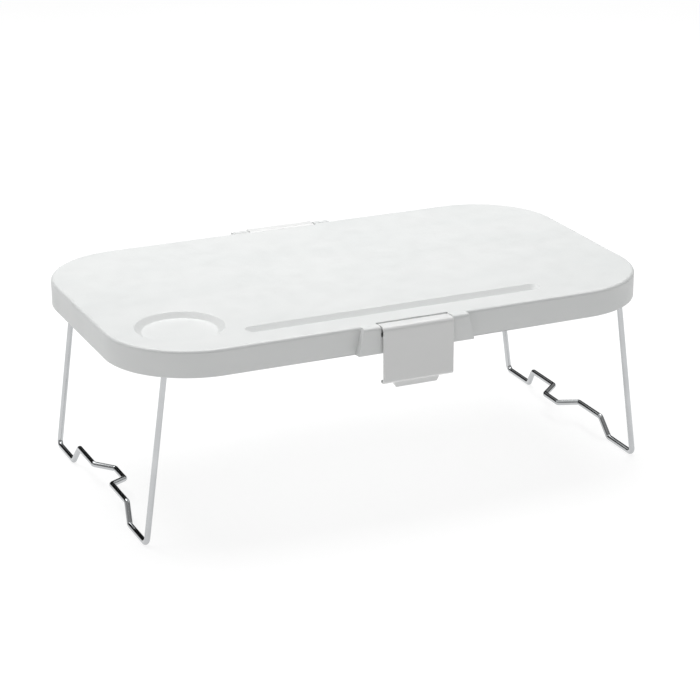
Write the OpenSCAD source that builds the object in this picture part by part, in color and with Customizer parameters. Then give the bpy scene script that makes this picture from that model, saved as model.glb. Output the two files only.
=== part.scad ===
// Folding tray table: a moulded tray on two bent-wire legs that fold up under it,
// with a hinged clip latch on the front edge and another on the rear edge.
// Millimetres. +Z up, +X along the tray, front latch at -Y.
// Origin: on the ground, below the middle of the tray.

/* [Tray] */
// Length of the tray along X
tray_l = 600; // [580:5:640]
// Width of the tray along Y
tray_w = 350; // [340:5:380]
// Corner radius of the tray, seen from above
corner_r = 94; // [90:1:100]
// Height of the tray's rim
rim_h = 28.5; // [28.5:0.5:34]
// Thickness of the top panel
panel_t = 2.5; // [2:0.1:2.5]
// Thickness of the rim wall
wall_t = 2.5; // [2:0.1:2.5]
// Rounding of the rim's top edge
edge_r = 3.5; // [3:0.5:5]

/* [Cup recess and groove] */
// Cup recess centre along X
cup_x = -224; // [-226:1:-215]
// Cup recess centre along Y
cup_y = -95; // [-100:1:-90]
// Rim radius of the cup recess
cup_r = 46; // [42:1:48]
// Floor radius of the cup recess
cup_foot = 39; // [36:1:41]
// Depth of the cup recess
cup_depth = 5.5; // [4:0.5:5.5]
// Left end of the groove along X
groove_x0 = -168; // [-170:1:-150]
// Right end of the groove along X
groove_x1 = 168; // [120:1:172]
// Middle of the groove along Y
groove_y = -134; // [-137:1:-130]
// Width of the groove
groove_w = 19; // [15:0.5:20]
// Half width of the groove's floor
groove_foot = 3; // [2:0.5:4.5]
// Depth of the groove
groove_depth = 5; // [3:0.5:5]

/* [Wire legs] */
// Diameter of the leg wire
wire_d = 6.2; // [5.8:0.1:6.4]
// Distance from the hinge axis to the foot wire, along the leg
leg_reach = 196; // [190:0.5:200]
// Outward lean of an open leg, in degrees
leg_splay = 7.8; // [5:0.2:10]
// Distance of each leg's hinge axis from the middle of the tray
hinge_x = 257.7; // [254:0.1:260]
// Depth of the hinge axis below the tray's top face
hinge_drop = 14.5; // [14.5:0.5:15]
// Half width of a leg
leg_half = 145; // [143:0.5:146]
// Distance of each step of the ground rail from the middle of the table
step_y = 86.3; // [80:0.1:92]
// Height of the raised middle stretch of the rail above the feet
step_h = 19.8; // [16:0.2:22]
// Distance of each side of the middle crank from the middle of the table
crank_y = 22.3; // [20:0.1:26]
// Inward reach of the crank
crank_d = 19.4; // [17:0.2:20]

/* [Latches] */
// Width of a latch flap
latch_w = 79; // [70:1:82]
// Height of a latch flap below the tray's top face, without its thumb tab
latch_h = 61; // [55:1:65]
// Distance that a latch's face stands out from the rim's face
latch_out = 12.5; // [12:0.5:14]
// Thickness of a latch flap
latch_t = 2.5; // [2:0.1:3]
// Distance that the latch block stands out from the rim's face
block_d = 8; // [7:0.5:9]
// Half width of the latch block at its top
block_top = 59; // [57:0.5:62]
// Half width of the latch block at its bottom
block_foot = 65.5; // [63:0.5:70]
// Diameter of the latch hinge rod
pin_d = 3; // [2.5:0.5:3]

/* [Brackets and screws] */
// Width of a leg bracket along Y
bracket_w = 18; // [16:1:18]
// Distance between a bracket's two screws
screw_pitch = 25; // [24:0.5:26]
// Diameter of a screw's shank
screw_d = 3; // [2.5:0.1:3]

/* [Hidden] */
$fn = 64;

eps = 1;                    // overshoot of a cutter past the face that it leaves through
run_gap = 0.08;             // radial clearance of a part that turns on another
seat_gap = 0.02;            // radial clearance of a pin or screw in its own seat
wire_r = wire_d / 2;
top_z = hinge_drop + leg_reach * cos(leg_splay) + wire_r;
axis_z = top_z - hinge_drop;

// Tray underside
band = 10;                  // width of the swept band that carries the rounded edge and the rim wall
rib_h = 4;
rib_t = 1.8;
rib_xs = [-200, -100, 0, 100, 200];
rib_ys = [-100, -45, 45, 100];
rib_half_l = tray_l / 2 - 25;
rib_half_w = tray_w / 2 - 11;
dish_back = 2;              // thickness of the tray under the cup recess and the groove
dish_side = 2.5;            // and to each side of them

// Latch: the axis lies just inside the rim's face, its knuckle flush with the top face
knuckle_r = 5;
pin_out = tray_w / 2 - 1;   // distance of the rod from the middle of the tray
pocket_gap = 0.6;           // clearance round the knuckle
pocket_side = 0.9;          // clearance at each end of the knuckle
pocket_r = knuckle_r + pocket_gap;
pocket_half = latch_w / 2 + pocket_side;
pocket_wall = 2.5;
pocket_z = -knuckle_r - pocket_r - pocket_wall;
boss_half = pocket_half + 11.5;
pin_x0 = -pocket_half - 7.6;
pin_x1 = -pin_x0;
block_face = tray_w / 2 + block_d;
latch_face = tray_w / 2 + latch_out;
bend_r = 5;                 // outer radius of the bend between strap and plate
hook_r = 3;                 // outer radius of the bend between plate and lip
hook_t = 2;
hook_in = 7.5;              // reach of the hook lip from the latch's face
hook_up = 1.2;              // height of the lip's turned-up tip above its bend
tab_top = 25.5;             // half width of the thumb tab that hangs from the lip
tab_foot = 23;              // and at its bottom
tab_h = 7;
tab_slant = 4;              // height of the slanted corners at its bottom
latch_corner_r = 1;

// Leg wire
pivot_in = 120;             // where the bent-in end of a leg wire stops
pivot_bend = 6;
foot_bend = 6.5;
step_bend = 4;
crank_bend = 4;
slope = 3 / 8;              // half the run of a step or crank side, for a rise of 1: sides slope 4 in 3
crank_reach = leg_reach - step_h;

// Folded pose: the crank's crest lies just below the panel
crest_gap = 0.4;
crest_drop = hinge_drop - panel_t - wire_r - crest_gap;
crest_arm = norm([crank_reach, crank_d]);
fold_dip = acos(crest_drop / crest_arm) - atan2(crank_reach, crank_d);
crest_x = hinge_x - crank_reach * cos(fold_dip) - crank_d * sin(fold_dip);
crest_z = -panel_t - crest_gap - wire_r;

// Snap fingers that hold the crest
finger_gap = wire_r + 0.4;
finger_t = 2;
finger_w = 16;
finger_h = wire_r + 1.6;    // how far the fingers reach below the crest's middle
barb = 0.15;

// Brackets
bracket_y = 130.5;          // middle of the barrel along Y
screw_y = 138;              // the screws stand clear of the cup recess
boss_h = 5.5;
boss_d = 8;
base_t = 2.5;
base_in = 18.5;             // base plate inward from the hinge axis
base_out = 17;              // and outward
base_side = 4.5;            // and past the screws, along Y
base_r = 4;
barrel_r = 5.5;
stop_t = 4;
stop_gap = 0.3;
stop_top = 5;
stop_len = 14;
stop_end = 148.5;
stop_set = 2;               // the stop starts this far inside the barrel's inner end
base_z = -panel_t - boss_h;
hole_gap = 0.4;
head_d = 5.6;
head_h = 2;
cross_l = 3.2;
cross_w = 0.8;
cross_depth = 1.1;

// --- helpers -------------------------------------------------------------------------------------

function unit(v) = v / norm(v);
function any_normal(v) = unit(cross(v, abs(v[0]) < 0.9 * norm(v) ? [1, 0, 0] : [0, 1, 0]));
function placed(x, y, z, o) = [[x[0], y[0], z[0], o[0]], [x[1], y[1], z[1], o[1]], [x[2], y[2], z[2], o[2]],
    [0, 0, 0, 1]];

// Quarter of a disc in the first quadrant
module quarter_disc(r) {
    intersection() {
        circle(r);
        square(r + eps);
    }
}

// Rounded rectangle, made of pieces that meet edge to edge
module rounded_rect(l, w, r) {
    square([l - 2 * r, w], center = true);
    for (s = [-1, 1])
        translate([s * (l / 2 - r / 2), 0])
            square([r, w - 2 * r], center = true);
    for (q = [0:3])
        translate([(q == 0 || q == 3 ? 1 : -1) * (l / 2 - r), (q < 2 ? 1 : -1) * (w / 2 - r)])
            rotate(90 * q)
                quarter_disc(r);
}

// Sweeps a section, drawn with X = 0 on the rim's face and negative inward, round the tray
module sweep_rim() {
    long_side = tray_l - 2 * corner_r;
    short_side = tray_w - 2 * corner_r;
    for (q = [0:3]) {
        translate([(q == 0 || q == 3 ? 1 : -1) * long_side / 2, (q < 2 ? 1 : -1) * short_side / 2, 0])
            rotate(90 * q)
                rotate_extrude(angle = 90)
                    translate([corner_r, 0])
                        children();
        rotate(90 * q)
            translate([(q % 2 == 0 ? tray_l : tray_w) / 2, 0, 0])
                rotate([90, 0, 0])
                    linear_extrude(q % 2 == 0 ? short_side : long_side, center = true)
                        children();
    }
}

// Extrudes a section along X. The section's X is the distance towards the front, its Y is height.
module along_x(l) {
    rotate([90, 0, -90])
        linear_extrude(l, center = true)
            children();
}

// Box given by its lowest and highest corners
module span(low, high) {
    translate(low)
        cube(high - low);
}

// A round wire along a list of points, with one bend radius per inner point
module wire(points, bends) {
    last = len(points) - 1;
    dirs = [for (i = [0:last - 1]) unit(points[i + 1] - points[i])];
    turn = [for (i = [1:last - 1]) acos(dirs[i - 1] * dirs[i])];
    cut = [for (i = [0:last]) i == 0 || i == last ? 0 : bends[i - 1] * tan(turn[i - 1] / 2)];
    for (i = [0:last - 1]) {
        side = any_normal(dirs[i]);
        multmatrix(placed(side, cross(dirs[i], side), dirs[i], points[i] + dirs[i] * cut[i]))
            cylinder(h = norm(points[i + 1] - points[i]) - cut[i] - cut[i + 1], r = wire_r);
    }
    for (i = [1:last - 1]) {
        d = dirs[i - 1];
        inner = unit(dirs[i] - d * (d * dirs[i]));
        start = points[i] - d * cut[i];
        multmatrix(placed(-inner, d, cross(-inner, d), start + inner * bends[i - 1]))
            rotate_extrude(angle = turn[i - 1])
                translate([bends[i - 1], 0])
                    circle(wire_r);
    }
}

// --- tray ----------------------------------------------------------------------------------------

module rim_section() {
    difference() {
        union() {
            translate([-edge_r, -edge_r])
                quarter_disc(edge_r);
            translate([-band, -edge_r])
                square([band - edge_r, edge_r]);
            translate([-band, -rim_h])
                square([band, rim_h - edge_r]);
        }
        translate([-band - eps, -rim_h - eps])
            square([band + eps - wall_t, rim_h + eps - panel_t]);
    }
}

module block_section(inset) {
    face = block_face - inset;
    back = tray_w / 2 - wall_t;
    translate([face - edge_r, -edge_r])
        quarter_disc(edge_r);
    translate([back, -edge_r])
        square([face - edge_r - back, edge_r]);
    translate([back, -rim_h])
        square([face - back, rim_h - edge_r]);
}

// Latch block on the front rim, solid, with the housing of the hinge pocket behind it
module block_body() {
    intersection() {
        along_x(2 * block_foot + 2 * eps)
            block_section(0);
        translate([0, 0, -rim_h])
            rotate([90, 0, 0])
                linear_extrude(block_face + eps)
                    polygon([[-block_foot, 0], [block_foot, 0], [block_top, rim_h], [-block_top, rim_h]]);
    }
    span([-boss_half, -tray_w / 2 + wall_t, pocket_z],
         [boss_half, -pin_out + pocket_r + pocket_wall, -panel_t / 2]);
}

// What is cut from the front block: its hollow, the hinge pocket and the rod's bore
module block_cuts() {
    hollow_top = block_top - wall_t - 2;
    hollow_foot = block_foot - wall_t - 2;
    translate([0, -tray_w / 2 + wall_t + eps, -rim_h - eps])
        rotate([90, 0, 0])
            linear_extrude(block_face - tray_w / 2 + eps)
                polygon([[-hollow_foot, 0], [hollow_foot, 0], [hollow_top, rim_h + eps + pocket_z],
                         [-hollow_top, rim_h + eps + pocket_z]]);
    along_x(2 * pocket_half) {
        translate([pin_out - pocket_r, -knuckle_r])
            square([pocket_r + 2 * block_d, knuckle_r + eps]);
        translate([pin_out, -knuckle_r])
            rotate(180)
                quarter_disc(pocket_r);
        translate([pin_out, -knuckle_r - pocket_r])
            square([2 * block_d, pocket_r]);
    }
    translate([pin_x0 - seat_gap, -pin_out, -knuckle_r])
        rotate([0, 90, 0])
            cylinder(h = pin_x1 - pin_x0 + 2 * seat_gap, d = pin_d + 2 * seat_gap);
}

module cup_cut() {
    translate([cup_x, cup_y, 0])
        rotate_extrude()
            polygon([[0, -cup_depth], [cup_foot, -cup_depth], [cup_r, 0], [cup_r, eps], [0, eps]]);
}

module cup_pan() {
    translate([cup_x, cup_y, 0])
        rotate_extrude()
            polygon([[0, -cup_depth - dish_back], [cup_foot + dish_side, -cup_depth - dish_back],
                     [cup_r + dish_side, -panel_t], [cup_r + dish_side, -panel_t / 2], [0, -panel_t / 2]]);
}

// Half of the groove's section
module groove_half() {
    half = groove_w / 2;
    polygon([[0, -groove_depth], [groove_foot, -groove_depth], [half, 0], [half, eps], [0, eps]]);
}

module groove_cut() {
    half = groove_w / 2;
    run = groove_x1 - groove_x0 - groove_w;
    translate([(groove_x0 + groove_x1) / 2, groove_y, 0])
        rotate([90, 0, 90])
            linear_extrude(run, center = true) {
                groove_half();
                mirror([1, 0])
                    groove_half();
            }
    for (s = [-1, 1])
        translate([s > 0 ? groove_x1 - half : groove_x0 + half, groove_y, 0])
            rotate(-90 * s)
                rotate_extrude(angle = 180)
                    groove_half();
}

module groove_pad() {
    translate([(groove_x0 + groove_x1) / 2, groove_y, -groove_depth - dish_back])
        linear_extrude(groove_depth + dish_back - panel_t / 2)
            rounded_rect(groove_x1 - groove_x0 + 2 * dish_side, groove_w + 2 * dish_side, groove_w / 2);
}

// A cylinder that stands down from the panel
module stud(x, y, d, h) {
    translate([x, y, -panel_t - h])
        cylinder(h = h + panel_t / 2, d = d);
}

module bracket_studs() {
    for (s = [-1, 1]) {
        stud(hinge_x + s * screw_pitch / 2, screw_y, boss_d, boss_h);
        stud(hinge_x + s * screw_pitch / 2, -screw_y, boss_d, boss_h);
    }
    for (s = [-1, 1])
        translate([hinge_x, s * screw_y, -panel_t - boss_h / 2])
            cube([screw_pitch, rib_t, boss_h], center = true);
}

module bracket_bores() {
    for (sx = [-1, 1], sy = [-1, 1])
        translate([hinge_x + sx * screw_pitch / 2, sy * screw_y, base_z - eps])
            cylinder(h = boss_h + eps, d = screw_d + 2 * seat_gap);
}

// Two fingers with small barbs, either side of the folded crest
module snap_fingers() {
    foot = crest_z - finger_h;
    for (s = [-1, 1])
        translate([crest_x, finger_w / 2, 0])
            rotate([90, 0, 0])
                linear_extrude(finger_w)
                    scale([s, 1])
                        polygon([[finger_gap, -panel_t / 2], [finger_gap, foot + 1.2],
                                 [finger_gap - barb, foot + 0.8], [finger_gap + 0.6, foot],
                                 [finger_gap + finger_t, foot], [finger_gap + finger_t, -panel_t / 2]]);
}

module ribs() {
    for (y = rib_ys)
        span([-rib_half_l, y - rib_t / 2, -panel_t - rib_h], [rib_half_l, y + rib_t / 2, -panel_t / 2]);
    for (x = rib_xs)
        span([x - rib_t / 2, -rib_half_w, -panel_t - rib_h], [x + rib_t / 2, rib_half_w, -panel_t / 2]);
}

module tray_top() {
    color("whitesmoke")
        translate([0, 0, top_z])
            difference() {
                union() {
                    sweep_rim()
                        rim_section();
                    translate([0, 0, -panel_t])
                        linear_extrude(panel_t)
                            rounded_rect(tray_l - 2 * band, tray_w - 2 * band, corner_r - band);
                    ribs();
                    cup_pan();
                    groove_pad();
                    for (m = [0, 1]) {
                        mirror([m, 0, 0])
                            bracket_studs();
                        mirror([m, 0, 0])
                            snap_fingers();
                        mirror([0, m, 0])
                            block_body();
                    }
                }
                cup_cut();
                groove_cut();
                for (m = [0, 1]) {
                    mirror([0, m, 0])
                        block_cuts();
                    mirror([m, 0, 0])
                        bracket_bores();
                }
            }
}

// --- latches -------------------------------------------------------------------------------------

module latch_section() {
    inner = latch_face - latch_t;
    // knuckle, its upper outer quarter filled up to the strap
    translate([pin_out, -knuckle_r])
        rotate(90)
            quarter_disc(knuckle_r);
    translate([pin_out, -knuckle_r])
        rotate(180)
            quarter_disc(knuckle_r);
    translate([pin_out, -knuckle_r])
        rotate(-90)
            quarter_disc(knuckle_r);
    translate([pin_out, -knuckle_r])
        square([knuckle_r, knuckle_r]);
    // strap
    translate([pin_out + knuckle_r, -latch_t])
        square([latch_face - bend_r - pin_out - knuckle_r, latch_t]);
    // bend
    translate([latch_face - bend_r, -bend_r])
        difference() {
            quarter_disc(bend_r);
            circle(bend_r - latch_t);
        }
    // plate
    translate([inner, hook_r - latch_h])
        square([latch_t, latch_h - hook_r - bend_r]);
    // hook
    translate([latch_face - hook_r, hook_r - latch_h])
        rotate(-90)
            difference() {
                quarter_disc(hook_r);
                circle(hook_r - hook_t);
            }
    translate([inner, hook_r - latch_h])
        square([hook_r - hook_t, eps / 2]);
    translate([latch_face - hook_in + hook_t, -latch_h])
        square([hook_in - hook_t - hook_r, hook_t]);
    translate([latch_face - hook_in + hook_t, hook_t - latch_h])
        rotate(180)
            quarter_disc(hook_t);
    translate([latch_face - hook_in, hook_t - latch_h])
        square([hook_t, hook_up]);
}

// What rounds a bottom corner of the flap, drawn for the right-hand one with its tip at the origin
module corner_cutter() {
    difference() {
        translate([-latch_corner_r, -eps])
            square([latch_corner_r + eps, latch_corner_r + eps]);
        translate([-latch_corner_r, latch_corner_r])
            rotate(-90)
                quarter_disc(latch_corner_r);
    }
}

module latch() {
    difference() {
        union() {
            along_x(latch_w)
                latch_section();
            translate([0, hook_in - latch_face, -latch_h])
                rotate([90, 0, 0])
                    linear_extrude(hook_t)
                        polygon([[-tab_foot, -tab_h], [tab_foot, -tab_h], [tab_top, tab_slant - tab_h],
                                 [tab_top, hook_t], [-tab_top, hook_t], [-tab_top, tab_slant - tab_h]]);
        }
        translate([-latch_w, -pin_out, -knuckle_r])
            rotate([0, 90, 0])
                cylinder(h = 2 * latch_w, d = pin_d + 2 * run_gap);
        for (m = [0, 1])
            mirror([m, 0, 0])
                translate([latch_w / 2, -block_face + hook_in, -latch_h])
                    rotate([90, 0, 0])
                        linear_extrude(3 * hook_in)
                            corner_cutter();
    }
}

module front_latch() {
    color("white")
        translate([0, 0, top_z])
            latch();
}

module rear_latch() {
    color("white")
        translate([0, 0, top_z])
            mirror([0, 1, 0])
                latch();
}

module latch_pin() {
    translate([pin_x0, -pin_out, top_z - knuckle_r])
        rotate([0, 90, 0])
            cylinder(h = pin_x1 - pin_x0, d = pin_d);
}

module front_latch_pin() {
    color("silver")
        latch_pin();
}

module rear_latch_pin() {
    color("silver")
        mirror([0, 1, 0])
            latch_pin();
}

// --- legs ----------------------------------------------------------------------------------------

// Half of a leg's centre line, from the bent-in end to the crank's crest. X is outward from the leg,
// Y across the table and Z up the leg from its hinge axis.
half_path = [
    [0, pivot_in, 0],
    [0, leg_half, 0],
    [0, leg_half, -leg_reach],
    [0, step_y + step_h * slope, -leg_reach],
    [0, step_y - step_h * slope, -crank_reach],
    [0, crank_y + crank_d * slope, -crank_reach],
    [-crank_d, crank_y - crank_d * slope, -crank_reach]
];
half_bends = [pivot_bend, foot_bend, step_bend, step_bend, crank_bend, crank_bend];

module leg() {
    last = len(half_path) - 1;
    other_half = [for (i = [last:-1:0]) [half_path[i][0], -half_path[i][1], half_path[i][2]]];
    other_bends = [for (i = [last - 1:-1:0]) half_bends[i]];
    translate([hinge_x, 0, axis_z])
        rotate([0, -leg_splay, 0])
            wire(concat(half_path, other_half), concat(half_bends, other_bends));
}

module left_leg() {
    color("lightgray")
        mirror([1, 0, 0])
            leg();
}

module right_leg() {
    color("lightgray")
        leg();
}

// --- brackets ------------------------------------------------------------------------------------

// Half-round barrel below the hinge axis, carried straight up into the base plate
module barrel_section() {
    for (a = [180, 270])
        rotate(a)
            quarter_disc(barrel_r);
    translate([-barrel_r, 0])
        square([2 * barrel_r, hinge_drop + base_z - base_t / 2]);
}

// Bracket at the right rear: base plate, barrel round the wire's end, and the stop for the open leg
module bracket() {
    y0 = bracket_y - bracket_w / 2;
    base_w = screw_y + base_side - y0;
    difference() {
        union() {
            translate([hinge_x + (base_out - base_in) / 2, y0 + base_w / 2, top_z + base_z - base_t])
                linear_extrude(base_t)
                    rounded_rect(base_in + base_out, base_w, base_r);
            translate([hinge_x, y0 + bracket_w, axis_z])
                rotate([90, 0, 0])
                    linear_extrude(bracket_w)
                        barrel_section();
            translate([hinge_x, 0, axis_z])
                rotate([0, -leg_splay, 0])
                    span([wire_r + stop_gap, y0 + stop_set, -stop_len],
                         [wire_r + stop_gap + stop_t, stop_end, stop_top]);
        }
        translate([hinge_x, y0 - eps, axis_z])
            rotate([-90, 0, 0])
                cylinder(h = bracket_w + 2 * eps, r = wire_r + run_gap);
        for (s = [-1, 1])
            translate([hinge_x + s * screw_pitch / 2, screw_y, top_z + base_z - base_t - eps])
                cylinder(h = base_t + 2 * eps, d = screw_d + hole_gap);
    }
}

// Places the children, drawn for the right rear corner, at one corner of the table
module at_corner(side, end) {
    mirror([side == "left" ? 1 : 0, 0, 0])
        mirror([0, end == "front" ? 1 : 0, 0])
            children();
}

module left_front_bracket() {
    color("gainsboro")
        at_corner("left", "front")
            bracket();
}

module left_rear_bracket() {
    color("gainsboro")
        at_corner("left", "rear")
            bracket();
}

module right_front_bracket() {
    color("gainsboro")
        at_corner("right", "front")
            bracket();
}

module right_rear_bracket() {
    color("gainsboro")
        at_corner("right", "rear")
            bracket();
}

// A self-tapping screw, head down, its shank in the tray's stud
module screw() {
    difference() {
        union() {
            cylinder(h = base_t + boss_h - 0.3, d = screw_d);
            translate([0, 0, -head_h])
                cylinder(h = head_h, d = head_d);
        }
        for (a = [0, 90])
            rotate(a)
                translate([-cross_l / 2, -cross_w / 2, -head_h - eps])
                    cube([cross_l, cross_w, cross_depth + eps]);
    }
}

module screw_pair() {
    for (s = [-1, 1])
        translate([hinge_x + s * screw_pitch / 2, screw_y, top_z + base_z - base_t])
            screw();
}

module left_front_screws() {
    color("darkgray")
        at_corner("left", "front")
            screw_pair();
}

module left_rear_screws() {
    color("darkgray")
        at_corner("left", "rear")
            screw_pair();
}

module right_front_screws() {
    color("darkgray")
        at_corner("right", "front")
            screw_pair();
}

module right_rear_screws() {
    color("darkgray")
        at_corner("right", "rear")
            screw_pair();
}

tray_top();
left_leg();
right_leg();
front_latch();
rear_latch();
front_latch_pin();
rear_latch_pin();
left_front_bracket();
left_rear_bracket();
right_front_bracket();
right_rear_bracket();
left_front_screws();
left_rear_screws();
right_front_screws();
right_rear_screws();
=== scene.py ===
"""Looks of the folding tray table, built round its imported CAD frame.

Shapes are drawn in millimetres with Z = 0 on the tray's top face, then moved into the frame in metres.
"""

import math

import bmesh
import bpy
from mathutils import Matrix, Vector


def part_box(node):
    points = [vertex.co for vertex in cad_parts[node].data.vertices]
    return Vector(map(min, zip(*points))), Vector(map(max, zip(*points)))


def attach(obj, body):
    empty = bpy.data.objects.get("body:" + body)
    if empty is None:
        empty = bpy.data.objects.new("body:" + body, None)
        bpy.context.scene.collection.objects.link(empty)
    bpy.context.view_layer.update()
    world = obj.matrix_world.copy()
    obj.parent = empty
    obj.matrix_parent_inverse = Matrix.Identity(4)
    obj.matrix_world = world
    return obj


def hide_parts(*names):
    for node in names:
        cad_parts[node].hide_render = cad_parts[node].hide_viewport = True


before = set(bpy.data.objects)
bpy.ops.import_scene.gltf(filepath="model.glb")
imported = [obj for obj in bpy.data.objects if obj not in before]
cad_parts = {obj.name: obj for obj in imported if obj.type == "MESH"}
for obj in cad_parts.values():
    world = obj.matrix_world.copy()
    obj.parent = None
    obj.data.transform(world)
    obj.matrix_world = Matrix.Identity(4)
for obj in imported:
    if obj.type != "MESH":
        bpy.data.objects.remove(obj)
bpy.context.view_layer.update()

MM = 0.001
TOP_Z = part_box("tray_top")[1].z / MM

# Tray
TRAY_L, TRAY_W, CORNER_R, RIM_H = 600.0, 350.0, 94.0, 28.5
PANEL_T, WALL_T, EDGE_R, LIP_R, FILLET = 2.5, 2.5, 3.5, 0.7, 1.2
CUP_X, CUP_Y, CUP_R, CUP_FOOT, CUP_DEPTH = -224.0, -95.0, 46.0, 39.0, 5.5
GROOVE_X0, GROOVE_X1, GROOVE_Y = -168.0, 168.0, -134.0
GROOVE_HALF, GROOVE_FOOT, GROOVE_DEPTH = 9.5, 3.0, 5.0
DISH_BACK, DISH_SIDE = 2.0, 2.5
QUARTER = 30  # steps in a quarter turn of the tray's corner

# Underside
RIB_H, RIB_T = 4.0, 1.8
RIB_XS, RIB_YS = (-200, -100, 0, 100, 200), (-100, -45, 45, 100)
HINGE_X, SCREW_Y, SCREW_PITCH = 257.7, 138.0, 25.0
BOSS_H, BOSS_D, BASE_T = 5.5, 8.0, 2.5

# Latches
LATCH_HALF, LATCH_H, LATCH_T = 39.5, 61.0, 2.5
LATCH_FACE, BLOCK_FACE = TRAY_W / 2 + 12.5, TRAY_W / 2 + 8.0
BLOCK_TOP, BLOCK_FOOT = 59.0, 65.5
KNUCKLE_R, PIN_OUT, PIN_R = 5.0, TRAY_W / 2 - 1, 1.5
POCKET_R, POCKET_HALF, POCKET_WALL = 5.6, 40.4, 2.5
POCKET_Z = -KNUCKLE_R - POCKET_R - POCKET_WALL
SEAT_GAP, TURN_GAP = 0.02, 0.08  # radial clearance of a rod in its seat, and of a part that turns on it
BEND_R, HOOK_R, HOOK_T, HOOK_IN = 5.0, 3.0, 2.0, 7.5
TAB_TOP, TAB_FOOT, TAB_H, TAB_SLANT = 25.5, 23.0, 7.0, 4.0
PIN_HALF = 48.0

# Legs
WIRE_R, LEG_REACH, LEG_SPLAY, LEG_HALF, HINGE_DROP = 3.1, 196.0, 7.8, 145.0, 14.5
STEP_Y, STEP_H, CRANK_Y, CRANK_D, PIVOT_IN = 86.3, 19.8, 22.3, 19.4, 120.0
SLOPE = 3 / 8
CREST_GAP = 0.4  # between the folded crest and the panel, and on either side to the snap fingers
FINGER_T, FINGER_W, FINGER_PAST, BARB = 2.0, 16.0, 1.6, 0.15


# --- mesh helpers ---------------------------------------------------------------------------------


def arc(cx, cy, r, a0, a1, n):
    """n + 1 points of an arc, angles in degrees."""
    return [
        (cx + r * math.cos(math.radians(a)), cy + r * math.sin(math.radians(a)))
        for a in (a0 + (a1 - a0) * i / n for i in range(n + 1))
    ]


def loft(loops, caps=True):
    """A mesh through loops of points that all have the same count, with a face over each end."""
    bm = bmesh.new()
    rows = [[bm.verts.new(p) for p in loop] for loop in loops]
    n = len(loops[0])
    for a, b in zip(rows, rows[1:]):
        for i in range(n):
            bm.faces.new((a[i], a[(i + 1) % n], b[(i + 1) % n], b[i]))
    if caps:
        bm.faces.new(rows[0])
        bm.faces.new(rows[-1][::-1])
    bmesh.ops.recalc_face_normals(bm, faces=bm.faces)
    return bm


def obj_from(bm, name):
    """An object from a bmesh. Its mesh is still in millimetres."""
    mesh = bpy.data.meshes.new(name)
    bm.to_mesh(mesh)
    bm.free()
    obj = bpy.data.objects.new(name, mesh)
    bpy.context.scene.collection.objects.link(obj)
    return obj


def along_x(section, x0, x1, name="part"):
    """A (y, z) section carried along X. Each end is one x, or a function of height."""
    ends = [x if callable(x) else (lambda z, x=x: x) for x in (x0, x1)]
    return obj_from(loft([[(e(z), y, z) for y, z in section] for e in ends]), name)


def block(low, high, name="part"):
    """A box given by two corners."""
    (x0, y0, z0), (x1, y1, z1) = low, high
    return along_x([(y0, z0), (y1, z0), (y1, z1), (y0, z1)], x0, x1, name)


def lathe(profile, centre, steps, name="part"):
    """A (radius, z) profile turned about a vertical line. It starts and ends off the axis."""
    loops = [
        [
            (centre[0] + r * math.cos(2 * math.pi * i / steps),
             centre[1] + r * math.sin(2 * math.pi * i / steps), z)
            for i in range(steps)
        ]
        for r, z in profile
    ]
    return obj_from(loft(loops), name)


def evaluated(obj):
    """Replaces obj's mesh by what its modifiers make of it."""
    dg = bpy.context.evaluated_depsgraph_get()
    mesh = bpy.data.meshes.new_from_object(obj.evaluated_get(dg))
    obj.modifiers.clear()
    obj.data = mesh


def combine(obj, operation, others):
    """Unites obj with the others or cuts them from it, and removes them."""
    group = bpy.data.collections.new("operands")
    bpy.context.scene.collection.children.link(group)
    for o in others:
        bpy.context.scene.collection.objects.unlink(o)
        group.objects.link(o)
    mod = obj.modifiers.new("combine", "BOOLEAN")
    mod.operation = operation
    mod.solver = "EXACT"
    mod.operand_type = "COLLECTION"
    mod.collection = group
    evaluated(obj)
    for o in others:
        bpy.data.objects.remove(o)
    bpy.data.collections.remove(group)


def mirrored(obj, axis):
    """A copy of obj on the other side of the table, across X (0) or Y (1)."""
    bm = bmesh.new()
    bm.from_mesh(obj.data)
    bmesh.ops.scale(bm, vec=[-1 if i == axis else 1 for i in range(3)], verts=bm.verts)
    bmesh.ops.reverse_faces(bm, faces=bm.faces)
    return obj_from(bm, obj.name)


def tidy_mesh(obj, flat=0.05):
    """Welds the mesh and joins faces that lie in one plane."""
    bm = bmesh.new()
    bm.from_mesh(obj.data)
    bmesh.ops.remove_doubles(bm, verts=bm.verts, dist=0.002)
    bmesh.ops.dissolve_degenerate(bm, edges=bm.edges, dist=0.002)
    bmesh.ops.dissolve_limit(bm, angle_limit=math.radians(flat), verts=bm.verts, edges=bm.edges)
    bm.to_mesh(obj.data)
    bm.free()


def soften(obj, width, angle=40, segments=2):
    """Rounds the edges sharper than the angle."""
    mod = obj.modifiers.new("soften", "BEVEL")
    mod.width, mod.segments = width, segments
    mod.limit_method, mod.angle_limit = "ANGLE", math.radians(angle)
    mod.use_clamp_overlap = False
    mod.miter_outer = "MITER_ARC"
    evaluated(obj)


def finished(obj, name, body, slot, material, *nodes, sharp=35):
    obj.data.transform(Matrix.Scale(MM, 4) @ Matrix.Translation((0, 0, TOP_Z)))
    obj.name = obj.data.name = name
    obj.data.shade_smooth()
    obj.data.set_sharp_from_angle(angle=math.radians(sharp))
    mod = obj.modifiers.new("normals", "WEIGHTED_NORMAL")
    mod.keep_sharp = True
    mod.weight = 80
    obj.data.materials.clear()
    obj.data.materials.append(material)
    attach(obj, body)
    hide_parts(*nodes)
    return obj


# --- materials ------------------------------------------------------------------------------------


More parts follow.
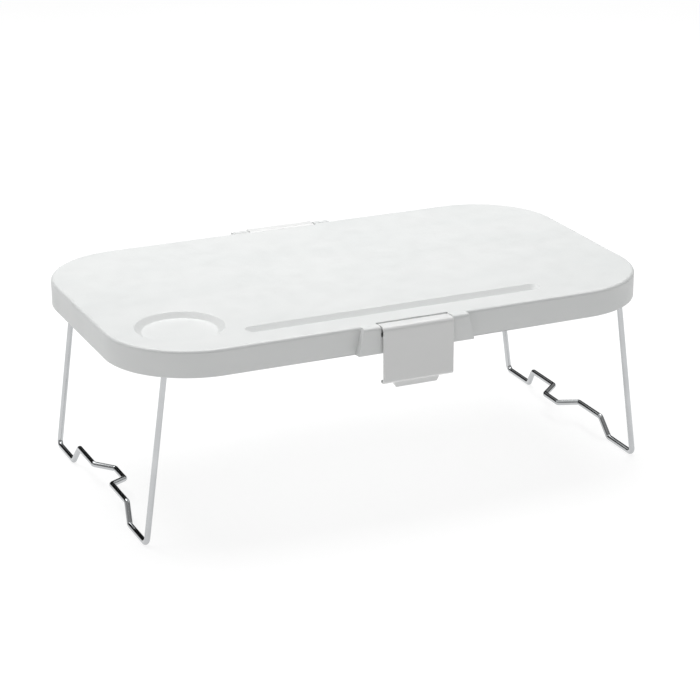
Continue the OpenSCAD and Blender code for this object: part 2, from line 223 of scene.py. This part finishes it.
def new_material(name):
    mat = bpy.data.materials.new(name)
    mat.use_nodes = True
    tree = mat.node_tree
    shader = tree.nodes["Principled BSDF"]
    where = tree.nodes.new("ShaderNodeTexCoord").outputs["Object"]
    return mat, tree, shader, where


def noise(tree, where, scale, detail=2.0, stretch=None, rough=0.5):
    """Noise of a given scale per metre."""
    if stretch:
        mapping = tree.nodes.new("ShaderNodeMapping")
        mapping.inputs["Scale"].default_value = stretch
        tree.links.new(where, mapping.inputs["Vector"])
        where = mapping.outputs["Vector"]
    node = tree.nodes.new("ShaderNodeTexNoise")
    node.inputs["Scale"].default_value = scale
    node.inputs["Detail"].default_value = detail
    node.inputs["Roughness"].default_value = rough
    tree.links.new(where, node.inputs["Vector"])
    return node.outputs["Fac"]


def ramp(tree, value, low, high, start=0.3, end=0.7):
    """Carries a 0 to 1 value to a colour or a grey between low and high."""
    node = tree.nodes.new("ShaderNodeValToRGB")
    for element, at, shade in zip(node.color_ramp.elements, (start, end), (low, high)):
        element.position = at
        element.color = (*shade, 1) if isinstance(shade, tuple) else (shade, shade, shade, 1)
    tree.links.new(value, node.inputs["Fac"])
    return node.outputs["Color"]


def stepped_ramp(tree, value, stops):
    """Carries a value to a grey through (position, grey) stops."""
    node = tree.nodes.new("ShaderNodeValToRGB")
    while len(node.color_ramp.elements) < len(stops):
        node.color_ramp.elements.new(0.5)
    for element, (at, shade) in zip(node.color_ramp.elements, stops):
        element.position = at
        element.color = (shade, shade, shade, 1)
    tree.links.new(value, node.inputs["Fac"])
    return node.outputs["Color"]


def bump(tree, height, strength, distance, under=None):
    node = tree.nodes.new("ShaderNodeBump")
    node.inputs["Strength"].default_value = strength
    node.inputs["Distance"].default_value = distance
    tree.links.new(height, node.inputs["Height"])
    if under:
        tree.links.new(under, node.inputs["Normal"])
    return node.outputs["Normal"]


def moulded_plastic(name, dark, light, rough, grain):
    """White moulded plastic: faint flow marks, a fine satin grain and a slight unevenness of gloss."""
    mat, tree, shader, where = new_material(name)
    shader.inputs["IOR"].default_value = 1.49
    flow = noise(tree, where, 9, 3, stretch=(1.0, 2.2, 3.0))
    tree.links.new(ramp(tree, flow, dark, light), shader.inputs["Base Color"])
    gloss = noise(tree, where, 55, 4)
    tree.links.new(ramp(tree, gloss, rough - 0.05, rough + 0.06), shader.inputs["Roughness"])
    wave = bump(tree, noise(tree, where, 16, 1), 0.25, 0.0004)
    fine = bump(tree, noise(tree, where, 1500, 2, rough=0.65), grain, 0.00006, wave)
    tree.links.new(fine, shader.inputs["Normal"])
    return mat


def polished_metal(name, dark, light, rough, scratch_stretch, scratch_strength, pits=0.0):
    """Plated or bare steel: tint and gloss vary a little, with fine draw marks along the wire."""
    mat, tree, shader, where = new_material(name)
    shader.inputs["Metallic"].default_value = 1.0
    tint = noise(tree, where, 30, 3)
    tree.links.new(ramp(tree, tint, dark, light), shader.inputs["Base Color"])
    smear = noise(tree, where, 120, 4)
    tree.links.new(ramp(tree, smear, rough * 0.7, rough * 1.4), shader.inputs["Roughness"])
    lines = bump(tree, noise(tree, where, 900, 3, stretch=scratch_stretch), scratch_strength, 0.00002)
    if pits:
        lines = bump(tree, noise(tree, where, 2600, 2), pits, 0.00003, lines)
    tree.links.new(lines, shader.inputs["Normal"])
    return mat


TRAY_PLASTIC = moulded_plastic(
    "tray_plastic_look", (0.70, 0.715, 0.71), (0.73, 0.74, 0.735), rough=0.46, grain=0.22)
LATCH_PLASTIC = moulded_plastic(
    "latch_plastic_look", (0.735, 0.74, 0.735), (0.76, 0.765, 0.76), rough=0.40, grain=0.14)
BRACKET_PLASTIC = moulded_plastic(
    "bracket_plastic_look", (0.62, 0.63, 0.625), (0.67, 0.675, 0.67), rough=0.36, grain=0.10)
CHROME = polished_metal(
    "leg_chrome_look", (0.49, 0.50, 0.51), (0.55, 0.56, 0.57), 0.05, (1, 0.12, 1), 0.05)
PIN_STEEL = polished_metal(
    "pin_steel_look", (0.52, 0.52, 0.53), (0.62, 0.62, 0.63), 0.22, (0.1, 1, 1), 0.35)
SCREW_STEEL = polished_metal(
    "screw_zinc_look", (0.52, 0.55, 0.60), (0.68, 0.70, 0.70), 0.28, (1, 1, 1), 0.2, pits=0.2)


# --- tray -----------------------------------------------------------------------------------------


def ring(out, z):
    """A loop round the tray at a distance out from the rim's face."""
    points = []
    for q, (sx, sy) in enumerate(((1, 1), (-1, 1), (-1, -1), (1, -1))):
        cx, cy = sx * (TRAY_L / 2 - CORNER_R), sy * (TRAY_W / 2 - CORNER_R)
        points += [(x, y, z) for x, y in arc(cx, cy, CORNER_R + out, 90 * q, 90 * q + 90, QUARTER)]
    return points


def shell():
    """The panel and the rim, one closed sheet with a rounded top edge, foot and inner corner."""
    profile = arc(-EDGE_R, -EDGE_R, EDGE_R, 90, 0, 8)
    profile += arc(-LIP_R, LIP_R - RIM_H, LIP_R, 0, -90, 4)
    profile += arc(LIP_R - WALL_T, LIP_R - RIM_H, LIP_R, -90, -180, 4)
    profile += arc(-WALL_T - FILLET, -PANEL_T - FILLET, FILLET, 0, 90, 4)
    return obj_from(loft([ring(u, z) for u, z in profile]), "tray")


def dish(rim, foot, depth, lip_r, foot_r, lean=8, n=6):
    """A cutter's profile: over the rounded lip at radius rim, down the slope and round to the floor."""
    slope = math.degrees(math.atan2(depth, rim - foot))
    half = math.tan(math.radians(slope / 2))
    points = arc(rim + lip_r * half, -lip_r, lip_r, 90 + lean, 90 + slope, n)
    points += arc(foot - foot_r * half, foot_r - depth, foot_r, slope - 90, -90, n)
    x, z = points[0]
    over = 1.0
    return [(x + (over - z) / math.tan(math.radians(lean)), over)] + points


def cup_cutter():
    return lathe(dish(CUP_R, CUP_FOOT, CUP_DEPTH, 2.5, 3.0), (CUP_X, CUP_Y), 120, "cup")


def stadium(r, z, steps=24):
    """A loop at a distance r round the groove's middle line."""
    return [
        (x + r * math.cos(a), GROOVE_Y + r * math.sin(a), z)
        for x, start in ((GROOVE_X1 - GROOVE_HALF, -90), (GROOVE_X0 + GROOVE_HALF, 90))
        for a in (math.radians(start + 180 * i / steps) for i in range(steps + 1))
    ]


def groove_cutter():
    profile = dish(GROOVE_HALF, GROOVE_FOOT, GROOVE_DEPTH, 1.0, 2.0)
    return obj_from(loft([stadium(r, z) for r, z in profile]), "groove")


def slanted(sign, top, foot, low=-RIM_H):
    """Where a slanted end of the latch block lies at each height."""
    return lambda z: sign * (foot + (top - foot) * (z - low) / -low)


def latch_block():
    """The block on the front rim and the housing of the hinge pocket behind it."""
    back = -TRAY_W / 2 + WALL_T / 2
    section = [(-y, z) for y, z in arc(BLOCK_FACE - EDGE_R, -EDGE_R, EDGE_R, 0, 90, 8)]
    section = [(-BLOCK_FACE, -RIM_H)] + section + [(back, 0), (back, -RIM_H)]
    face = along_x(section, slanted(-1, BLOCK_TOP, BLOCK_FOOT), slanted(1, BLOCK_TOP, BLOCK_FOOT))
    half = POCKET_HALF + 11.5
    housing = block((-half, -TRAY_W / 2 + WALL_T / 2, POCKET_Z),
                    (half, -PIN_OUT + POCKET_R + POCKET_WALL, -PANEL_T / 2))
    return [face, housing]


def latch_cuts():
    """The block's hollow and the hinge pocket."""
    inner, outer = -TRAY_W / 2 + WALL_T + 0.8, -BLOCK_FACE + WALL_T
    hollow_top = BLOCK_TOP - WALL_T - 2
    hollow_foot = BLOCK_FOOT - WALL_T - 2
    low = -RIM_H - 1
    ends = [lambda z, s=s: s * (hollow_foot + (hollow_top - hollow_foot) * (z - low) / (POCKET_Z - low))
            for s in (-1, 1)]
    hollow = along_x([(outer, low), (inner, low), (inner, POCKET_Z), (outer, POCKET_Z)], *ends)
    section = [(-PIN_OUT + POCKET_R, 2), (-200, 2), (-200, -KNUCKLE_R - POCKET_R)]
    section += [(-y, z) for y, z in arc(PIN_OUT, -KNUCKLE_R, POCKET_R, -90, -180, 10)]
    pocket = along_x(section, -POCKET_HALF, POCKET_HALF)
    return [hollow, pocket]


def rod_hole(gap, reach):
    """A cutter round the front latch rod, wider than it by the gap all round."""
    section = [(y - PIN_OUT, z - KNUCKLE_R) for y, z in arc(0, 0, PIN_R + gap, 0, 345, 23)]
    return along_x(section, -reach, reach)


def rod_seats():
    """The seats of both latch rods, closed at their ends."""
    seat = rod_hole(SEAT_GAP, PIN_HALF + SEAT_GAP)
    return [seat, mirrored(seat, 1)]


def underside():
    """Ribs, screw studs with their webs, the snap fingers and the pads under the cup and the groove."""
    parts = []
    for y in RIB_YS:
        parts.append(block((-275, y - RIB_T / 2, -PANEL_T - RIB_H), (275, y + RIB_T / 2, -PANEL_T / 2)))
    for x in RIB_XS:
        parts.append(block((x - RIB_T / 2, -164, -PANEL_T - RIB_H), (x + RIB_T / 2, 164, -PANEL_T / 2)))
    parts.append(lathe([(CUP_R + DISH_SIDE, -PANEL_T / 2), (CUP_FOOT + DISH_SIDE, -CUP_DEPTH - DISH_BACK)],
                       (CUP_X, CUP_Y), 120))
    pad = [stadium(GROOVE_HALF + DISH_SIDE, z) for z in (-GROOVE_DEPTH - DISH_BACK, -PANEL_T / 2)]
    parts.append(obj_from(loft(pad), "pad"))
    reach = CRANK_D, LEG_REACH - STEP_H
    crest_z = -PANEL_T - CREST_GAP - WIRE_R
    arm = math.hypot(*reach)
    dip = math.acos((HINGE_DROP + crest_z) / arm) - math.atan2(reach[1], reach[0])
    crest_x = HINGE_X - reach[1] * math.cos(dip) - reach[0] * math.sin(dip)
    foot, near = crest_z - WIRE_R - FINGER_PAST, WIRE_R + CREST_GAP
    for sx in (-1, 1):
        for sy in (-1, 1):
            for s in (-1, 1):
                x = sx * (HINGE_X + s * SCREW_PITCH / 2)
                parts.append(lathe([(BOSS_D / 2, -PANEL_T - BOSS_H), (BOSS_D / 2, -PANEL_T / 2)],
                                   (x, sy * SCREW_Y), 40))
            parts.append(block((sx * HINGE_X - SCREW_PITCH / 2, sy * SCREW_Y - RIB_T / 2, -PANEL_T - BOSS_H),
                               (sx * HINGE_X + SCREW_PITCH / 2, sy * SCREW_Y + RIB_T / 2, -PANEL_T / 2)))
        for s in (-1, 1):
            outline = [(near, -PANEL_T / 2), (near, foot + 1.2), (near - BARB, foot + 0.8),
                       (near + 0.6, foot), (near + FINGER_T, foot), (near + FINGER_T, -PANEL_T / 2)]
            finger = [[(sx * crest_x + s * x, y, z) for x, z in outline]
                      for y in (-FINGER_W / 2, FINGER_W / 2)]
            parts.append(obj_from(loft(finger), "finger"))
    return parts


def make_tray():
    tray = shell()
    front = latch_block()
    combine(tray, "UNION", front + [mirrored(o, 1) for o in front] + underside())
    cuts = latch_cuts()
    combine(tray, "DIFFERENCE", cuts + [mirrored(o, 1) for o in cuts] + [cup_cutter(), groove_cutter()])
    tidy_mesh(tray)
    soften(tray, 0.45, 50)
    combine(tray, "DIFFERENCE", rod_seats())
    return finished(tray, "tray_shell", "tray", "tray_plastic", TRAY_PLASTIC, "tray_top")


# --- latches --------------------------------------------------------------------------------------


def latch_outline():
    """The latch's section: (distance from the middle of the tray, height)."""
    inner = LATCH_FACE - LATCH_T
    points = arc(PIN_OUT, -KNUCKLE_R, KNUCKLE_R, 90, 360, 24)
    points += arc(PIN_OUT + KNUCKLE_R + 0.8, -LATCH_T - 0.8, 0.8, 180, 90, 3)
    points += arc(LATCH_FACE - BEND_R, -BEND_R, BEND_R - LATCH_T, 90, 0, 8)
    points += arc(inner - 1, HOOK_R - LATCH_H, HOOK_R - HOOK_T, 0, -90, 5)
    tip = LATCH_FACE - HOOK_IN
    points += arc(tip + HOOK_T + 0.4, HOOK_T - LATCH_H + 0.4, 0.4, -90, -180, 3)
    points += arc(tip + HOOK_T / 2, HOOK_T - LATCH_H + 1.2 - HOOK_T / 2, HOOK_T / 2, 0, 180, 8)
    points += arc(tip + HOOK_T, HOOK_T - LATCH_H, HOOK_T, 180, 270, 6)
    points += arc(LATCH_FACE - HOOK_R, HOOK_R - LATCH_H, HOOK_R, -90, 0, 8)
    points += arc(LATCH_FACE - BEND_R, -BEND_R, BEND_R, 0, 90, 10)
    return [(-y, z) for y, z in points]


def make_latch():
    latch = along_x(latch_outline(), -LATCH_HALF, LATCH_HALF, "latch")
    slant = TAB_SLANT - TAB_H
    outline = [(-TAB_FOOT, -TAB_H), (TAB_FOOT, -TAB_H), (TAB_TOP, slant), (TAB_TOP, HOOK_T),
               (-TAB_TOP, HOOK_T), (-TAB_TOP, slant)]
    inner = HOOK_IN - LATCH_FACE
    tab = obj_from(loft([[(x, y, z - LATCH_H) for x, z in outline] for y in (inner - HOOK_T, inner)]), "tab")
    combine(latch, "UNION", [tab])
    cutters = [rod_hole(TURN_GAP, 60)]
    corner = 1.0
    for s in (-1, 1):
        x, z = LATCH_HALF - corner, corner - LATCH_H
        shape = [(s * (x + corner + 1), z)] + [(s * a, b) for a, b in arc(x, z, corner, 0, -90, 8)]
        shape += [(s * x, -LATCH_H - 1), (s * (x + corner + 1), -LATCH_H - 1)]
        ends = [[(a, y, b) for a, b in shape] for y in (-200, -LATCH_FACE + 9)]
        cutters.append(obj_from(loft(ends), "corner"))
    combine(latch, "DIFFERENCE", cutters)
    tidy_mesh(latch)
    soften(latch, 0.5, 40, 3)
    return latch


# --- legs -----------------------------------------------------------------------------------------


def bent_wire(points, bends, r, sides, ends):
    """A round wire along a list of points with one bend radius per inner point, its ends rounded off."""
    points = [Vector(p) for p in points]
    dirs = [(b - a).normalized() for a, b in zip(points, points[1:])]
    line = [(points[0], dirs[0])]
    for i, radius in enumerate(bends, 1):
        a, b = dirs[i - 1], dirs[i]
        turn = a.angle(b)
        start = points[i] - a * (radius * math.tan(turn / 2))
        inner = (b - a * a.dot(b)).normalized()
        steps = max(6, int(math.degrees(turn) / 5))
        for k in range(steps + 1):
            t = turn * k / steps
            line.append((start + a * (radius * math.sin(t)) + inner * (radius * (1 - math.cos(t))),
                         a * math.cos(t) + inner * math.sin(t)))
    line.append((points[-1], dirs[-1]))
    side = line[0][1].orthogonal().normalized()
    loops = []
    last = len(line) - 1
    for i, (p, d) in enumerate(line):
        side = (side - d * side.dot(d)).normalized()
        other = d.cross(side)
        rounds = [(0.0, r)]
        if i == 0:
            rounds = [(ends * (1 - math.sin(t)), r - ends * (1 - math.cos(t)))
                      for t in (math.radians(90 - a) for a in (0, 22.5, 45, 67.5, 90))]
        if i == last:
            rounds = [(-ends * (1 - math.cos(t)), r - ends * (1 - math.sin(t)))
                      for t in (math.radians(90 - a) for a in (0, 22.5, 45, 67.5, 90))]
        for shift, radius in rounds:
            loops.append([p + d * shift + (side * math.cos(a) + other * math.sin(a)) * radius
                          for a in (2 * math.pi * k / sides for k in range(sides))])
    return loft(loops)


def make_leg():
    crank_reach = LEG_REACH - STEP_H
    half = [
        (0, PIVOT_IN, 0),
        (0, LEG_HALF, 0),
        (0, LEG_HALF, -LEG_REACH),
        (0, STEP_Y + STEP_H * SLOPE, -LEG_REACH),
        (0, STEP_Y - STEP_H * SLOPE, -crank_reach),
        (0, CRANK_Y + CRANK_D * SLOPE, -crank_reach),
        (-CRANK_D, CRANK_Y - CRANK_D * SLOPE, -crank_reach),
    ]
    bends = [6, 6.5, 4, 4, 4, 4]
    path = half + [(x, -y, z) for x, y, z in reversed(half)]
    bm = bent_wire(path, bends + bends[::-1], WIRE_R, 32, 0.6)
    bm.transform(Matrix.Translation((HINGE_X, 0, -HINGE_DROP))
                 @ Matrix.Rotation(math.radians(-LEG_SPLAY), 4, "Y"))
    return obj_from(bm, "leg")


# --- small parts ----------------------------------------------------------------------------------


def make_pin():
    """The latch's steel rod, its ends rounded over."""
    bm = bent_wire([(-PIN_HALF, 0, 0), (PIN_HALF, 0, 0)], [], PIN_R, 32, 0.4)
    bm.transform(Matrix.Translation((0, -PIN_OUT, -KNUCKLE_R)))
    return obj_from(bm, "pin")


def bracket_copy(node):
    """A bracket with its edges rounded, from the CAD node's own mesh."""
    bm = bmesh.new()
    bm.from_mesh(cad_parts[node].data)
    bm.transform(Matrix.Translation((0, 0, -TOP_Z)) @ Matrix.Scale(1 / MM, 4))
    obj = obj_from(bm, node)
    tidy_mesh(obj, 0.4)
    soften(obj, 0.35, 45)
    return obj


def thread(length, crest, root, pitch, steps=24, rows=10):
    """A screw's shank with a helical thread, tapering to its tip. Z is up the shank."""
    loops = []
    count = int(length / pitch * rows)
    for j in range(count + 1):
        z = length * j / count
        taper = min(1.0, (length - z) / 2.0 + 0.2)
        loop = []
        for i in range(steps):
            phase = (z / pitch - i / steps) % 1.0
            ridge = max(0.0, 1 - abs(phase - 0.5) / 0.28)
            r = (root + (crest - root) * ridge * min(1.0, z / 0.8)) * taper
            a = 2 * math.pi * i / steps
            loop.append((r * math.cos(a), r * math.sin(a), z))
        loops.append(loop)
    return loft(loops)


def make_screw():
    """A pan-head self-tapping screw with a cross recess, its head downward."""
    head = lathe([(1.45, 0.6), (1.45, 0.0), (2.65, 0.0), (2.8, -0.15), (2.8, -0.75), (2.72, -1.15),
                  (2.45, -1.55), (1.95, -1.85), (1.2, -1.97), (0.4, -2.0)], (0, 0), 48, "head")
    shank = obj_from(thread(7.7, 1.48, 1.1, 1.15), "shank")
    combine(head, "UNION", [shank])
    cuts = []
    for a in (0, 90):
        wide, deep = ((1.6, 0.4, -2.6), (0.9, 0.28, -0.9))
        loops = [[(sx * x, sy * y, z) for sx, sy in ((1, 1), (-1, 1), (-1, -1), (1, -1))]
                 for x, y, z in (wide, deep)]
        bm = loft(loops)
        bm.transform(Matrix.Rotation(math.radians(a + 20), 4, "Z"))
        cuts.append(obj_from(bm, "recess"))
    combine(head, "DIFFERENCE", cuts)
    return head


def screw_pair(screw, sx, sy):
    """Two copies of the screw at one corner of the table, each turned a different way."""
    bm = bmesh.new()
    for s in (-1, 1):
        part = screw.data.copy()
        at = (sx * (HINGE_X + s * SCREW_PITCH / 2), sy * SCREW_Y, -PANEL_T - BOSS_H - BASE_T)
        part.transform(Matrix.Translation(at) @ Matrix.Rotation(1.1 * s + 0.7 * sx + 0.4 * sy, 4, "Z"))
        bm.from_mesh(part)
        bpy.data.meshes.remove(part)
    return obj_from(bm, "screws")


# --- assembly -------------------------------------------------------------------------------------

make_tray()

latch = make_latch()
pin = make_pin()
for end, flip in (("rear", True), ("front", False)):
    l, p = (mirrored(latch, 1), mirrored(pin, 1)) if flip else (latch, pin)
    finished(l, f"{end}_flap", f"{end}_latch", "latch_plastic", LATCH_PLASTIC, f"{end}_latch")
    finished(p, f"{end}_rod", "tray", "pin_steel", PIN_STEEL, f"{end}_latch_pin")

leg = make_leg()
for side, flip in (("left", True), ("right", False)):
    piece = mirrored(leg, 0) if flip else leg
    finished(piece, f"{side}_wire", f"{side}_leg", "leg_chrome", CHROME, f"{side}_leg", sharp=60)

screw = make_screw()
for side, sx in (("left", -1), ("right", 1)):
    for end, sy in (("front", -1), ("rear", 1)):
        corner = f"{side}_{end}"
        finished(bracket_copy(f"{corner}_bracket"), f"{corner}_clip", "tray", "bracket_plastic",
                 BRACKET_PLASTIC, f"{corner}_bracket")
        finished(screw_pair(screw, sx, sy), f"{corner}_screw_pair", "tray", "screw_steel", SCREW_STEEL,
                 f"{corner}_screws")
bpy.data.objects.remove(screw)


# --- studio ---------------------------------------------------------------------------------------


def area_light(name, at, look, size, power):
    light = bpy.data.lights.new(name, "AREA")
    light.shape = "RECTANGLE"
    light.size, light.size_y = size
    light.energy = power
    obj = bpy.data.objects.new(name, light)
    obj.location = at
    obj.rotation_euler = (Vector(look) - Vector(at)).to_track_quat("-Z", "Y").to_euler()
    bpy.context.scene.collection.objects.link(obj)


FLOOR_HALF = 2e4


def studio():
    """Floor, pale sky with a dark band low behind the table, two area lights and the camera."""
    floor = block((-FLOOR_HALF, -FLOOR_HALF, -5), (FLOOR_HALF, FLOOR_HALF, 0), "floor")
    floor.data.transform(Matrix.Scale(MM, 4))
    mat, tree, shader, where = new_material("floor_look")
    tree.links.new(ramp(tree, noise(tree, where, 2.0), 0.22, 0.24), shader.inputs["Base Color"])
    shader.inputs["Roughness"].default_value = 1.0
    shader.inputs["Specular IOR Level"].default_value = 0.0
    shader.inputs["Emission Color"].default_value = (1, 1, 1, 1)
    shader.inputs["Emission Strength"].default_value = 0.84
    floor.data.materials.append(mat)

    world = bpy.data.worlds.new("studio")
    bpy.context.scene.world = world
    world.use_nodes = True
    tree = world.node_tree
    back = tree.nodes["Background"]
    where = tree.nodes.new("ShaderNodeTexCoord").outputs["Generated"]
    split = tree.nodes.new("ShaderNodeSeparateXYZ")
    tree.links.new(where, split.inputs["Vector"])
    height = split.outputs["Z"]
    sky = stepped_ramp(tree, height, ((0.0, 0.35), (0.1, 0.35), (0.17, 0.15), (0.6, 0.3), (1.0, 0.45)))
    card = stepped_ramp(tree, height, ((0.0, 1.0), (0.16, 1.0), (0.19, 0.0), (0.52, 0.0), (0.56, 1.0)))
    behind = stepped_ramp(tree, split.outputs["Y"], ((0.45, 1.0), (0.55, 0.0)))
    both = tree.nodes.new("ShaderNodeMath")
    both.operation = "MAXIMUM"
    tree.links.new(card, both.inputs[0])
    tree.links.new(behind, both.inputs[1])
    mix = tree.nodes.new("ShaderNodeMix")
    mix.data_type = "RGBA"
    tree.links.new(both.outputs["Value"], mix.inputs["Factor"])
    mix.inputs["A"].default_value = (0.01, 0.01, 0.01, 1)
    tree.links.new(sky, mix.inputs["B"])
    tree.links.new(mix.outputs["Result"], back.inputs["Color"])
    area_light("overhead", (0.05, 0.8, 2.2), (0, 0, 0.2), (2.4, 2.0), 61)
    area_light("left_fill", (-2.4, 0.2, 0.9), (0, 0, 0.2), (1.2, 1.2), 1.5)

    lens = bpy.data.cameras.new("camera")
    lens.lens, lens.sensor_width = 117.33, 36.0
    camera = bpy.data.objects.new("camera", lens)
    camera.location = (-0.9574, -2.1432, 0.9839)
    aim = Vector((-0.09313, -0.22291, 0.2088))
    roll = math.radians(-0.186)
    camera.rotation_mode = "QUATERNION"
    facing = (aim - camera.location).to_track_quat("-Z", "Y")
    camera.rotation_quaternion = facing @ Matrix.Rotation(roll, 4, "Z").to_quaternion()
    bpy.context.scene.collection.objects.link(camera)
    bpy.context.scene.camera = camera
    bpy.context.scene.view_settings.view_transform = "Standard"


studio()
